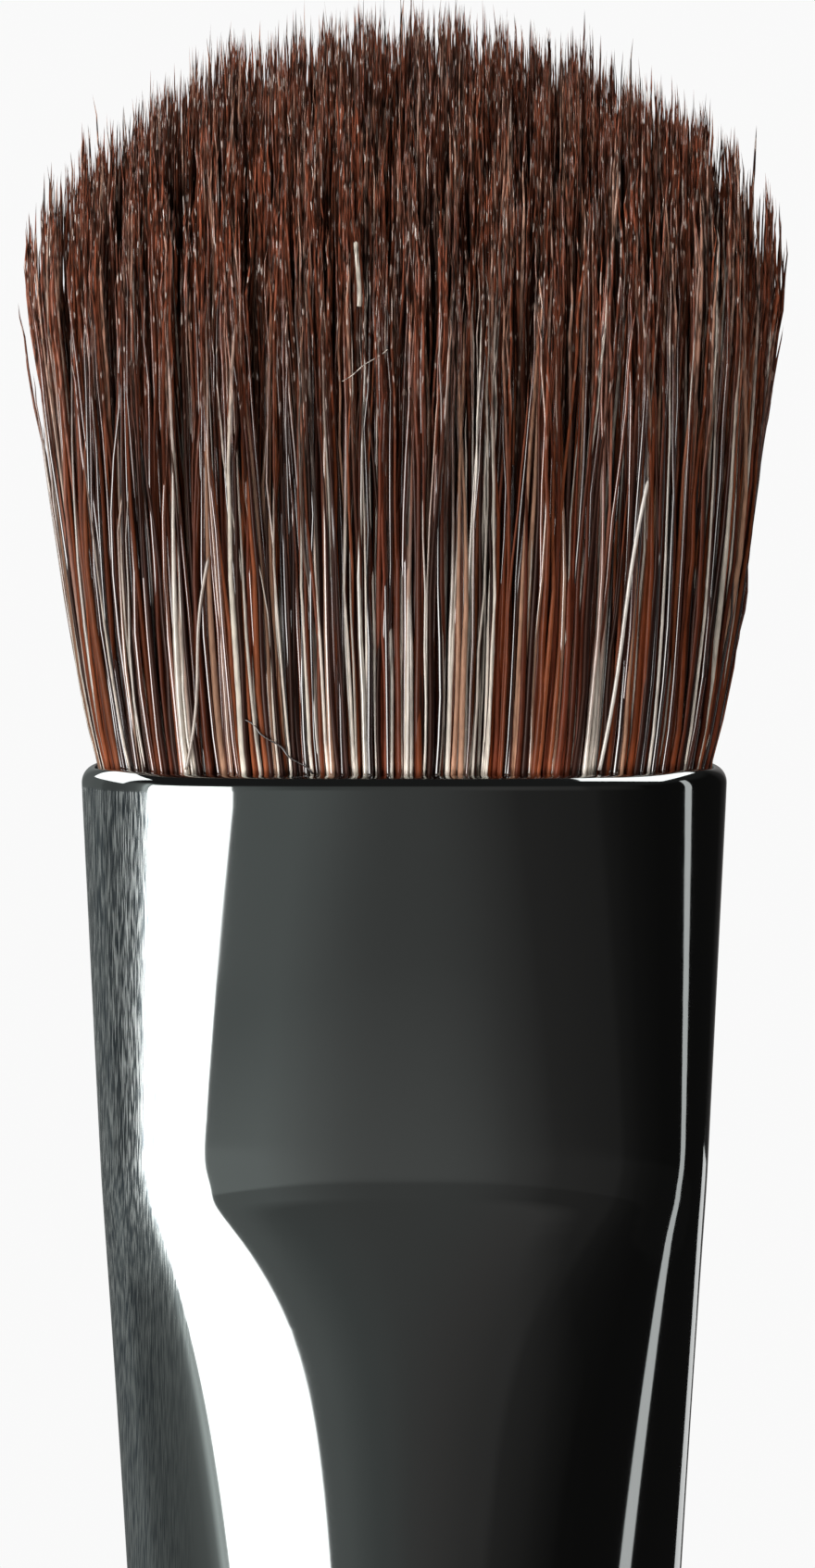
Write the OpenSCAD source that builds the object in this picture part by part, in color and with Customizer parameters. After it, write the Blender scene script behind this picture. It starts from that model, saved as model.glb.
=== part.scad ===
// Eyeshadow brush: a flat, domed tuft of hair in a pressed metal ferrule, on a long turned handle.
// The brush stands along Z with its hair up. X runs across its width and Y through its thickness.
// The origin lies on the axis, at the middle of the plain round seat of the ferrule's barrel.

/* [Hair tuft] */
// Length of the longest hair above the ferrule's mouth
hair_len = 11.7; // [9:0.1:15]
// Width of the tuft at its widest
belly_w = 12; // [10.6:0.1:13.4]
// Thickness of the tuft at its thickest
belly_t = 6.6; // [5.8:0.1:7.4]
// Height of the widest place above the mouth
belly_h = 7.3; // [5:0.1:8]
// How far the tip's dome falls at the two narrow sides
side_drop = 3.7; // [2:0.1:5]
// How far the tip's dome falls at the two flat faces
face_drop = 5.2; // [3:0.1:6.5]
// How much shorter a strand may be than the dome
uneven = 0.3; // [0:0.1:1]
// Strands across the width
strands_across = 30; // [25:1:35]
// Strands through the thickness
strands_deep = 12; // [12:1:13]
// How far the packed roots' top lies below the mouth
root_inset = 0.2; // [0.1:0.05:0.5]
// How far the tied roots reach below the ferrule's crease
root_tail = 2; // [1:0.1:4]

/* [Ferrule head] */
// Width of the mouth, outside
mouth_w = 10; // [9:0.1:11]
// Thickness of the mouth, outside
mouth_t = 6; // [5.4:0.1:6.6]
// Width at the crease, outside
crease_w = 9.36; // [8.6:0.02:9.9]
// Thickness at the crease, outside
crease_t = 4.7; // [4.2:0.1:5.2]
// Length of the pressed flat, from the mouth to the crease
flat_len = 6.5; // [4:0.1:9]
// Length of the change from the flat to the round barrel
change_len = 14.5; // [10:0.5:20]
// Thickness of the metal
wall = 0.25; // [0.2:0.01:0.35]
// Height of the rounded lip of the mouth
lip_h = 0.22; // [0.12:0.01:0.35]

/* [Ferrule barrel] */
// Outside diameter of the round barrel, which is also the seat for a holder
barrel_d = 7.8; // [7.2:0.1:8.4]
// Length of the plain round seat above the crimps
seat_len = 8; // [6:0.5:12]
// Number of crimped rings
crimps = 2; // [1:1:3]
// Distance between crimped rings
crimp_pitch = 2.4; // [1.6:0.1:3]
// Width of a crimped ring
crimp_w = 1; // [0.6:0.1:1.4]
// Depth of a crimped ring
crimp_depth = 0.22; // [0.1:0.01:0.3]
// Middle of the first crimped ring above the barrel's end
crimp_start = 2; // [1.2:0.1:3]

/* [Plug and binding] */
// Thickness of the thread that ties the roots
thread_t = 0.35; // [0.2:0.01:0.5]
// Length of the resin plug below the roots
plug_len = 5; // [3:0.5:7]

/* [Handle] */
// Length of the handle below the ferrule
handle_len = 124; // [90:1:150]
// Diameter of the handle just above its rounded end
handle_end_d = 4.2; // [3.2:0.1:5.4]
// Length of the rounded end
end_round_len = 2.6; // [1.5:0.1:4]
// Step in from the barrel's surface to the handle's
shoulder_step = 0.05; // [0.02:0.01:0.15]
// Bevel on the shoulder's edge
shoulder_bevel = 0.08; // [0.04:0.01:0.1]
// How far the tenon's top stays below the barrel's top
tenon_setback = 2; // [1:0.5:3]
// Bevel on the tenon's top edge
tenon_bevel = 0.6; // [0.3:0.1:0.8]
// Depth of the glue groove in the tenon
glue_t = 0.4; // [0.2:0.05:0.6]
// Plain length of tenon above and below the glue groove
glue_margin = 1.2; // [0.9:0.1:1.6]

/* [Fits] */
// Clearance between the ferrule's inner wall and the hair, thread and resin
root_gap = 0.05; // [0.02:0.01:0.08]
// Clearance between the barrel's inner wall and the tenon
tenon_gap = 0.05; // [0.02:0.01:0.08]
// Clearance between the thread and the roots that it ties
thread_gap = 0.04; // [0.02:0.01:0.08]
// Clearance round the glue in its groove
glue_gap = 0.03; // [0.02:0.01:0.05]
// Difference in radius where the pressed metal meets the true round of the barrel
seam_gap = 0.015; // [0.013:0.001:0.025]

/* [Hidden] */
$fn = 96;

// Heights along the axis
barrel_top = seat_len / 2;
last_crimp_top = -seat_len / 2;
barrel_end = last_crimp_top - crimp_w / 2 - (crimps - 1) * crimp_pitch - crimp_start;
crease_z = barrel_top + change_len;
mouth_z = crease_z + flat_len;
root_top = mouth_z - root_inset;
root_end = crease_z - root_tail;
plug_end = root_end - plug_len;
tenon_top = barrel_top - tenon_setback;
glue_top = tenon_top - glue_margin;
glue_end = last_crimp_top + glue_margin;
handle_end = barrel_end - handle_len;

// How far the pressed metal reaches down inside the barrel's wall, and a cut past its solid
overrun = 0.3;

// Radii about the axis
barrel_r = barrel_d / 2;
bore_r = barrel_r - wall;
tenon_r = bore_r - tenon_gap;
shoulder_r = barrel_r - shoulder_step;
handle_end_r = handle_end_d / 2;

// Exponents of the ferrule's section: 2 is an ellipse, and more gives flatter faces
round_power = 2;
mouth_power = 2.85;
crease_power = 3.4;
// Exponents of the way the width, the thickness and the section turn round below the crease
width_power = 1.3;
thick_power = 2;
section_power = 14;
// Exponents of the tuft's swelling, of its dome and of the handle's taper
swell_power = 0.75;
dome_power = 1.7;
taper_power = 1.6;

// Directions of the three corners of a strand in its cell
strand_corners = [90, 210, 330];
// Share of its own cell that a strand fills at its base, lower ring and upper ring
strand_fill_shares = [0.8, 0.86, 0.8];
// Shares of a strand's length at which its base, lower ring and upper ring lie
strand_height_shares = [0, 0.36, 0.8];
// Seed of the strands' uneven lengths
uneven_seed = 7;

// Facets round the pressed metal and steps along each of its stretches
sides = 40;
lip_steps = 6;
flat_steps = 2;
change_steps = 10;
crimp_steps = 4;
taper_steps = 5;
round_steps = 4;

// The value a share of the way from one to another
function mix(from, to, share) = from + (to - from) * share;

// How far below the crease a height lies, as a share of the change to round
function change_share(z) = min(max((crease_z - z) / change_len, 0), 1);

// How far below the mouth a height lies, as a share of the pressed flat
function flat_share(z) = min(max((mouth_z - z) / flat_len, 0), 1);

// A measure of the ferrule's outside at a height, from its values at mouth, crease and barrel
function along(z, mouth, crease, barrel, power) =
    z >= crease_z
        ? mix(mouth, crease, flat_share(z))
        : mix(barrel, crease, pow(1 - change_share(z), power));

// Section of the ferrule at a height, inset from its outside: half width, half thickness, exponent
function section(z, inset) = [
    along(z, mouth_w / 2, crease_w / 2, barrel_r, width_power) - inset,
    along(z, mouth_t / 2, crease_t / 2, barrel_r, thick_power) - inset,
    along(z, mouth_power, crease_power, round_power, section_power)
];

// Point of a section in a direction, at a share of the way from its middle to its edge
function section_point(s, angle, share, z) =
    let (
        edge = pow(pow(abs(cos(angle)), s[2]) + pow(abs(sin(angle)), s[2]), -1 / s[2]),
        reach = share * edge
    )
    [s[0] * reach * cos(angle), s[1] * reach * sin(angle), z];

// A list in the opposite order
function reversed(list) = [for (i = [len(list) - 1 : -1 : 0]) list[i]];

// Closed ring of points round a section
function ring(s, z) = [for (i = [0 : sides - 1]) section_point(s, 360 * i / sides, 1, z)];

// Two triangles on the four points a, b of one ring and c, d of the next
function split(a, b, c, d) = [[a, b, d], [a, d, c]];

// Triangles between ring k and ring m, where each ring has n points
function band(k, m, n) = [
    for (i = [0 : n - 1])
        each split(k * n + i, k * n + (i + 1) % n, m * n + i, m * n + (i + 1) % n)
];

// Tube wall whose rings run up the outside, over the top and down the inside
module wall_loft(rings) {
    n = len(rings[0]);
    count = len(rings);
    polyhedron(
        points = [for (r = rings) each r],
        faces = [for (k = [0 : count - 1]) each band((k + 1) % count, k, n)]
    );
}

// Solid whose rings run upwards, closed by a fan of triangles at each end
module solid_loft(rings, low, high) {
    n = len(rings[0]);
    count = len(rings);
    low_i = n * count;
    high_i = low_i + 1;
    polyhedron(
        points = [for (r = rings) each r, low, high],
        faces = [
            for (k = [0 : count - 2]) each band(k + 1, k, n),
            for (i = [0 : n - 1]) [low_i, i, (i + 1) % n],
            for (i = [0 : n - 1]) [high_i, (count - 1) * n + (i + 1) % n, (count - 1) * n + i]
        ]
    );
}

// Heights of the pressed metal, from its foot inside the barrel's wall to the foot of the lip
change_heights = [for (i = [0 : change_steps - 1]) mix(barrel_top, crease_z, i / change_steps)];
flat_heights = [for (i = [0 : flat_steps]) mix(crease_z, mouth_z - lip_h, i / flat_steps)];
head_heights = concat([barrel_top - overrun], change_heights, flat_heights);

// Heights of the rings of a piece that follows the inner wall from one height up to another
function lining_heights(low, high) =
    concat([low], [for (z = change_heights) if (z > low && z < high) z], [high]);

// How far the pressed metal keeps inside the barrel's two surfaces at a height
function seam_inset(z) = z <= barrel_top ? seam_gap : 0;

// Inset from the outside at step i of the lip's half round, and the height there
function lip_inset(i) = wall / 2 * (1 - cos(180 * i / lip_steps));
function lip_height(i) = mouth_z - lip_h * (1 - sin(180 * i / lip_steps));

// The pressed part of the ferrule, from inside the barrel's wall up to the lip
module pressed_head() {
    outside = [for (z = head_heights) ring(section(z, seam_inset(z)), z)];
    lip = [for (i = [1 : lip_steps - 1]) ring(section(lip_height(i), lip_inset(i)), lip_height(i))];
    inside = [for (z = reversed(head_heights)) ring(section(z, wall - seam_inset(z)), z)];
    wall_loft(concat(outside, lip, inside));
}

// Height of the middle of crimp k
function crimp_z(k) = barrel_end + crimp_start + k * crimp_pitch;

// Steps over each crimp, from its foot to its top: the dip below the plain wall, and the height
crimp_path = [
    for (k = [0 : crimps - 1])
        for (i = [0 : crimp_steps])
            [
                crimp_depth * (1 - cos(360 * i / crimp_steps)) / 2,
                crimp_z(k) + crimp_w * (i / crimp_steps - 1 / 2)
            ]
];

// Profile of a crimped wall of radius r, from its foot to its top
function crimped(r, foot, top) = concat(
    [[r, foot]],
    [for (p = crimp_path) [r - p[0], p[1]]],
    [[r, top]]
);

// The round part of the ferrule, with its crimped rings
module barrel() {
    rotate_extrude()
        polygon(concat(
            crimped(barrel_r, barrel_end, barrel_top),
            reversed(crimped(bore_r, barrel_end, barrel_top))
        ));
}

// Metal ferrule: a round crimped barrel that is pressed flat towards the mouth
module ferrule() {
    color("#4a4d4e")
        union() {
            pressed_head();
            barrel();
        }
}

// Place in a cell grid over a square, moved onto a unit disc: its angle and its share of the radius
function disc_place(u, v) =
    let (
        x = u * sqrt(1 - v * v / 2),
        y = v * sqrt(1 - u * u / 2)
    )
    [atan2(y, x), sqrt(x * x + y * y)];

// Section of the packed roots where the strands rise from them
root_section = section(root_top, wall + root_gap);

// Section of the tuft at a height, which swells from the roots to the widest place
function tuft_section(z) =
    let (swell = pow(min(max((z - mouth_z) / belly_h, 0), 1), swell_power))
    [
        mix(root_section[0], belly_w / 2, swell),
        mix(root_section[1], belly_t / 2, swell),
        mix(root_section[2], round_power, swell)
    ];

// Point of the tuft for a place in the cell grid at a height
function tuft_point(u, v, z) =
    let (place = disc_place(u, v))
    section_point(tuft_section(z), place[0], place[1], z);

// Height of the dome over a place in the cell grid
function dome_z(u, v) =
    let (
        place = disc_place(u, v),
        drop = mix(side_drop, face_drop, pow(sin(place[0]), 2)),
        fall = 1 - pow(1 - pow(min(place[1], 1), dome_power), 1 / dome_power)
    )
    mouth_z + hair_len - drop * fall;

// Middle of cell i of n, and the place of grid line i of n, both from -1 to 1
function cell_mid(i, n) = (2 * i + 1) / n - 1;
function grid_line(i, n) = 2 * i / n - 1;

strand_count = strands_across * strands_deep;
strand_cuts = rands(0, uneven, strand_count, uneven_seed);
corner_count = len(strand_corners);
strand_rings = len(strand_fill_shares);

// Ring points, from the base up, and then the tip of the strand in cell i, j
function strand_points(i, j) =
    let (
        u = cell_mid(i, strands_across),
        v = cell_mid(j, strands_deep),
        tip_z = dome_z(u, v) - strand_cuts[j * strands_across + i]
    )
    [
        for (k = [0 : strand_rings - 1])
            for (corner = strand_corners)
                tuft_point(
                    u + strand_fill_shares[k] * cos(corner) / strands_across,
                    v + strand_fill_shares[k] * sin(corner) / strands_deep,
                    mix(root_top, tip_z, strand_height_shares[k])
                ),
        tuft_point(u, v, tip_z)
    ];

// Grid places round the edge of the packed roots, anticlockwise seen from above
edge_places = [
    for (i = [0 : strands_across - 1]) [i, 0],
    for (j = [0 : strands_deep - 1]) [strands_across, j],
    for (i = [strands_across : -1 : 1]) [i, strands_deep],
    for (j = [strands_deep : -1 : 1]) [0, j]
];
edge_count = len(edge_places);

// Ring of points below the edge places, on a section at a height
function edge_ring(s, z) = [
    for (e = edge_places)
        let (place = disc_place(grid_line(e[0], strands_across), grid_line(e[1], strands_deep)))
            section_point(s, place[0], place[1], z)
];

// Hair tuft: strands that rise from the packed roots, with a waist for the thread below the crease
module hair_tuft() {
    row = strands_across + 1;
    grid = [
        for (j = [0 : strands_deep])
            for (i = [0 : strands_across])
                tuft_point(grid_line(i, strands_across), grid_line(j, strands_deep), root_top)
    ];
    strands = [
        for (j = [0 : strands_deep - 1])
            for (i = [0 : strands_across - 1])
                each strand_points(i, j)
    ];
    packed = section(crease_z, wall + root_gap);
    waist_heights = reversed(lining_heights(root_end, crease_z));
    waist = [
        for (z = waist_heights)
            each edge_ring(section(z, wall + root_gap + thread_t), z)
    ];
    roots = concat(edge_ring(packed, crease_z), waist);
    strands_i = len(grid);
    roots_i = strands_i + len(strands);
    foot_i = roots_i + len(roots);
    tip_step = corner_count * strand_rings;
    per_strand = tip_step + 1;
    edge_i = [for (e = edge_places) e[1] * row + e[0]];

    // Seven triangles join each cell's corners to the three base points of its strand
    collar_faces = [
        for (j = [0 : strands_deep - 1])
            for (i = [0 : strands_across - 1])
                let (
                    q = [j * row + i, j * row + i + 1, (j + 1) * row + i + 1, (j + 1) * row + i],
                    p = strands_i + (j * strands_across + i) * per_strand
                )
                each [
                    [q[1], q[0], p + 1],
                    [q[1], p + 1, p + 2],
                    [q[2], q[1], p + 2],
                    [q[2], p + 2, p],
                    [q[3], q[2], p],
                    [q[3], p, p + 1],
                    [q[0], q[3], p + 1]
                ]
    ];
    strand_faces = [
        for (s = [0 : strand_count - 1])
            let (p = strands_i + s * per_strand)
            for (c = [0 : corner_count - 1])
                let (next = (c + 1) % corner_count, last = p + tip_step - corner_count)
                    each [
                        for (k = [0 : strand_rings - 2])
                            let (low = p + k * corner_count, high = low + corner_count)
                                each split(high + c, high + next, low + c, low + next),
                        [last + next, last + c, p + tip_step]
                    ]
    ];
    edge_faces = [
        for (e = [0 : edge_count - 1])
            let (next = (e + 1) % edge_count)
                each split(edge_i[e], edge_i[next], roots_i + e, roots_i + next)
    ];
    root_faces = [
        for (k = [0 : len(waist_heights) - 1])
            for (e = [0 : edge_count - 1])
                let (
                    next = (e + 1) % edge_count,
                    high = roots_i + k * edge_count,
                    low = high + edge_count
                )
                    each split(high + e, high + next, low + e, low + next)
    ];
    foot_faces = [
        for (e = [0 : edge_count - 1])
            let (low = roots_i + len(waist_heights) * edge_count)
                [foot_i, low + e, low + (e + 1) % edge_count]
    ];
    color("#5a3c33")
        polyhedron(
            points = concat(grid, strands, roots, [[0, 0, root_end]]),
            faces = concat(collar_faces, strand_faces, edge_faces, root_faces, foot_faces)
        );
}

// Thread that ties the roots, between the crease and the roots' end
module root_binding() {
    heights = lining_heights(root_end, crease_z);
    outer = [for (z = heights) ring(section(z, wall + root_gap), z)];
    inner = [
        for (z = reversed(heights))
            ring(section(z, wall + root_gap + thread_t - thread_gap), z)
    ];
    color("#d8d2c0")
        wall_loft(concat(outer, inner));
}

// Resin that locks the roots in the ferrule
module epoxy_plug() {
    heights = lining_heights(plug_end, root_end);
    rings = [for (z = heights) ring(section(z, wall + root_gap), z)];
    color("#c9b27a")
        solid_loft(rings, [0, 0, plug_end], [0, 0, root_end]);
}

// Adhesive that fills the tenon's glue groove
module tenon_glue() {
    glue_len = glue_top - glue_end - 2 * glue_gap;
    color("#e3dcc4")
        translate([0, 0, glue_end + glue_gap])
            difference() {
                cylinder(h = glue_len, r = bore_r - glue_gap);
                translate([0, 0, -overrun])
                    cylinder(h = glue_len + 2 * overrun, r = tenon_r - glue_t + glue_gap);
            }
}

// Radius of the handle at a share of its length below the shoulder
function handle_r(share) = mix(shoulder_r, handle_end_r, pow(share, taper_power));

// Turned handle with a long taper, a rounded end and a grooved tenon that fills the barrel
module handle() {
    round_share = 1 - end_round_len / handle_len;
    round_end = [
        for (i = [0 : round_steps])
            [
                handle_r(round_share) * sin(90 * i / round_steps),
                handle_end + end_round_len * (1 - cos(90 * i / round_steps))
            ]
    ];
    taper = [
        for (i = [1 : taper_steps - 1])
            let (share = round_share * (1 - i / taper_steps))
                [handle_r(share), barrel_end - share * handle_len]
    ];
    shoulder = [
        [shoulder_r, barrel_end - shoulder_bevel],
        [shoulder_r - shoulder_bevel, barrel_end]
    ];
    groove_r = tenon_r - glue_t;
    tenon = [
        [groove_r, glue_end],
        [groove_r, glue_top],
        [tenon_r, glue_top],
        [tenon_r, tenon_top - tenon_bevel],
        [tenon_r - tenon_bevel, tenon_top],
        [0, tenon_top]
    ];
    color("#17161a")
        rotate_extrude()
            polygon(concat(round_end, taper, shoulder, crimped(tenon_r, barrel_end, glue_end), tenon));
}

hair_tuft();
root_binding();
epoxy_plug();
ferrule();
tenon_glue();
handle();
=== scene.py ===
import math

import bpy
import numpy as np
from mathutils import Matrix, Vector


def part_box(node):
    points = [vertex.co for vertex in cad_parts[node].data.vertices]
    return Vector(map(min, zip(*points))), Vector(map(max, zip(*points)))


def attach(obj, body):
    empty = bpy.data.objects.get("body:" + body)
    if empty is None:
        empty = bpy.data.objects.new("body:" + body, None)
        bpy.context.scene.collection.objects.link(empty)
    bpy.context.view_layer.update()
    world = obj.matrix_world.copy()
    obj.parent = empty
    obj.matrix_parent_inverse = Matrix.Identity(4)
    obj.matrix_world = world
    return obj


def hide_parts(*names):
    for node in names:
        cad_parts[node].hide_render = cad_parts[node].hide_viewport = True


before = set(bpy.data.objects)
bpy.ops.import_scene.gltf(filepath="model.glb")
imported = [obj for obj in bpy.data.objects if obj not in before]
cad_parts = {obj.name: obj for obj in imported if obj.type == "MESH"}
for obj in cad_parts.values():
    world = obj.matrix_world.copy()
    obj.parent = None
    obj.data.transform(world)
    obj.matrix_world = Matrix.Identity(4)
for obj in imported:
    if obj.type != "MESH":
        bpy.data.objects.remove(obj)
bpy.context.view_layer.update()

MM = 0.001

# Sizes of the brush, which the CAD model shares
HAIR_LEN = 11.7 * MM
BELLY_H = 7.3 * MM
ROOT_INSET = 0.2 * MM
MOUTH_W = 10 * MM
MOUTH_T = 6.0 * MM
CREASE_W = 9.36 * MM
CREASE_T = 4.7 * MM
FLAT_LEN = 6.5 * MM
CHANGE_LEN = 14.5 * MM
WALL = 0.25 * MM
LIP_H = 0.22 * MM
BARREL_R = 3.9 * MM
CRIMPS = 2
CRIMP_PITCH = 2.4 * MM
CRIMP_W = 1 * MM
CRIMP_DEPTH = 0.22 * MM
CRIMP_START = 2 * MM
ROOT_GAP = 0.05 * MM
TENON_GAP = 0.05 * MM
SHOULDER_STEP = 0.05 * MM
HANDLE_END_R = 2.1 * MM
END_ROUND_LEN = 2.6 * MM

# The belly that the hairs are laid out on is a little slimmer than the solid's, because some lean past it
BELLY_W = 11.7 * MM
BELLY_T = 6.4 * MM

# Exponents of the sections, and of the curves that lead from one section to the next
MOUTH_POWER = 2.85
CREASE_POWER = 3.85
FLANK_POWER = 3.42
ROUND_POWER = 2.0
WIDTH_POWER = 1.3
THICK_POWER = 2.0
SECTION_POWER = 13.5
PRESS_POWER = 1.15
SWELL_POWER = 0.75
DOME_POWER = 1.7
TAPER_POWER = 1.6

# Heights along the axis, from the frame
MOUTH_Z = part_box("ferrule")[1][2]
BARREL_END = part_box("ferrule")[0][2]
HANDLE_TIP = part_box("handle")[0][2]
TENON_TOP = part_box("handle")[1][2]
CREASE_Z = MOUTH_Z - FLAT_LEN
ROOT_TOP = MOUTH_Z - ROOT_INSET
ROOT_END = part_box("hair_tuft")[0][2]
HANDLE_LEN = BARREL_END - HANDLE_TIP

# How far the crease is rounded, and the bell curve that rounds it
CORNER_SOFT = 0.34 * MM
FACE_SOFT = 0.14 * MM
SOFT_SPAN = 2.5
SOFT_COUNT = 101
SOFT_STEPS = np.linspace(-SOFT_SPAN, SOFT_SPAN, SOFT_COUNT)
SOFT_WEIGHTS = np.exp(-(SOFT_STEPS**2) / 2)
SOFT_WEIGHTS /= SOFT_WEIGHTS.sum()


def mix(low, high, share):
    """The value that lies a share of the way from low to high."""
    return low + (high - low) * share


def smooth(low, high, value):
    """A share that eases from 0 at low to 1 at high."""
    share = np.clip((value - low) / (high - low), 0, 1)
    return share * share * (3 - 2 * share)


def section(z, inset=0.0):
    """Half width, half thickness and exponent of the ferrule's outside at a height, less an inset."""
    flat = np.clip((MOUTH_Z - z) / FLAT_LEN, 0, 1)
    pressed = 1 - np.clip((CREASE_Z - z) / CHANGE_LEN, 0, 1)
    above = (
        mix(MOUTH_W, CREASE_W, flat) / 2,
        mix(MOUTH_T, CREASE_T, flat**PRESS_POWER) / 2,
        mix(MOUTH_POWER, CREASE_POWER, flat),
    )
    below = (
        mix(BARREL_R, CREASE_W / 2, pressed**WIDTH_POWER),
        mix(BARREL_R, CREASE_T / 2, pressed**THICK_POWER),
        mix(ROUND_POWER, FLANK_POWER, pressed**SECTION_POWER),
    )
    half_w, half_t, power = (np.where(z >= CREASE_Z, *pair) for pair in zip(above, below))
    return half_w - inset, half_t - inset, power


def soft_section(z, inset=0.0):
    """The section with the crease rounded, tightly on the faces and more widely round the corners."""

    def rounded(part, reach):
        return sum(w * section(z + step * reach, inset)[part] for step, w in zip(SOFT_STEPS, SOFT_WEIGHTS))

    return rounded(0, CORNER_SOFT), rounded(1, FACE_SOFT), rounded(2, CORNER_SOFT)


def section_xy(shape, angle, share):
    """Place on a section: a direction, and a share of the way from its middle to its edge."""
    half_w, half_t, power = shape
    c, s = np.cos(angle), np.sin(angle)
    edge = (np.abs(c) ** power + np.abs(s) ** power) ** (-1 / power)
    return half_w * share * edge * c, half_t * share * edge * s


def even_angles(count):
    return np.linspace(0, 2 * math.pi, count, endpoint=False)


def level_ring(x, y, z):
    return np.stack([x, y, np.full_like(x, z)], axis=1)


def new_object(name, data):
    obj = bpy.data.objects.new(name, data)
    bpy.context.scene.collection.objects.link(obj)
    return obj


def add_piece(name, points, faces, material):
    """A smooth mesh on the brush's one body."""
    mesh = bpy.data.meshes.new(name)
    mesh.from_pydata(points.tolist(), [], faces)
    mesh.update()
    mesh.shade_smooth()
    mesh.materials.append(material)
    piece = new_object(name, mesh)
    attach(piece, "root")
    return piece


def loft(rings, closed):
    """Points and faces through rings of equal length. A closed loft joins its last ring to its first."""
    count, sides = len(rings), len(rings[0])
    faces = []
    for k in range(count if closed else count - 1):
        m = (k + 1) % count
        for i in range(sides):
            j = (i + 1) % sides
            faces.append((k * sides + i, k * sides + j, m * sides + j, m * sides + i))
    if not closed:
        faces.append(tuple(range(sides))[::-1])
        faces.append(tuple((count - 1) * sides + i for i in range(sides)))
    return np.concatenate(rings), faces


# Materials


class Graph:
    """The shader nodes of one material or world, with short calls for the kinds that repeat."""

    def __init__(self, tree):
        self.nodes = tree.nodes
        self.links = tree.links

    def feed(self, socket, value):
        """Links another node's output to a socket, or sets a number or a colour on it."""
        if isinstance(value, bpy.types.NodeSocket):
            self.links.new(value, socket)
        elif isinstance(value, tuple):
            socket.default_value = (*value, 1)
        else:
            socket.default_value = value

    def place(self, stretch=(1, 1, 1)):
        """Object coordinates scaled along each axis, as the place that a texture reads."""
        coords = self.nodes.new("ShaderNodeTexCoord")
        mapping = self.nodes.new("ShaderNodeMapping")
        mapping.inputs["Scale"].default_value = stretch
        self.links.new(coords.outputs["Object"], mapping.inputs["Vector"])
        return mapping.outputs["Vector"]

    def axes(self, place):
        split = self.nodes.new("ShaderNodeSeparateXYZ")
        self.links.new(place, split.inputs["Vector"])
        return split.outputs["X"], split.outputs["Y"], split.outputs["Z"]

    def noise(self, place, scale, detail=2.0, rough=0.5):
        texture = self.nodes.new("ShaderNodeTexNoise")
        texture.inputs["Scale"].default_value = scale
        texture.inputs["Detail"].default_value = detail
        texture.inputs["Roughness"].default_value = rough
        self.links.new(place, texture.inputs["Vector"])
        return texture.outputs["Fac"]

    def ranged(self, value, from_low, from_high, to_low=0, to_high=1):
        """Turns one range of a value into another and holds its ends."""
        node = self.nodes.new("ShaderNodeMapRange")
        node.inputs["From Min"].default_value = from_low
        node.inputs["From Max"].default_value = from_high
        node.inputs["To Min"].default_value = to_low
        node.inputs["To Max"].default_value = to_high
        self.links.new(value, node.inputs["Value"])
        return node.outputs["Result"]

    def calc(self, operation, first, second):
        node = self.nodes.new("ShaderNodeMath")
        node.operation = operation
        self.feed(node.inputs[0], first)
        self.feed(node.inputs[1], second)
        return node.outputs["Value"]

    def mixed(self, share, low, high, blend="MIX"):
        """A colour between two, or one multiplied by the other."""
        node = self.nodes.new("ShaderNodeMix")
        node.data_type = "RGBA"
        node.blend_type = blend
        self.feed(node.inputs["A"], low)
        self.feed(node.inputs["B"], high)
        self.feed(node.inputs["Factor"], share)
        return node.outputs["Result"]

    def bump(self, shader, height, strength, distance):
        node = self.nodes.new("ShaderNodeBump")
        node.inputs["Strength"].default_value = strength
        node.inputs["Distance"].default_value = distance
        self.links.new(height, node.inputs["Height"])
        self.links.new(node.outputs["Normal"], shader.inputs["Normal"])


def new_material(name):
    material = bpy.data.materials.new(name)
    material.use_nodes = True
    graph = Graph(material.node_tree)
    return material, graph, graph.nodes["Principled BSDF"]


# The metal: where its brushed sides begin and where they are full, across the width
LEFT_BRUSHED = (-3.2 * MM, -4.3 * MM)
RIGHT_BRUSHED = (3.6 * MM, 4.4 * MM)
RIGHT_BRUSHING = 0.1
BRUSHED_BELOW_LIP = 1.2
SCRATCHES = (0.36, 0.64)
SCRATCH_STRETCH = (1, 0.12, 0.03)
CLOUDS = (0.3, 0.7)
POLISHED_TONES = ((0.395, 0.42, 0.415), (0.425, 0.445, 0.44))
SCRATCHED_TONES = ((0.16, 0.195, 0.23), (0.78, 0.81, 0.8))
POLISHED_ROUGHNESS = (0.04, 0.06)
# The brushing grows rougher over this stretch below the crease
COARSER_OVER = 4 * MM
BRUSHED_ROUGHNESS = (0.12, 0.34)


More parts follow.
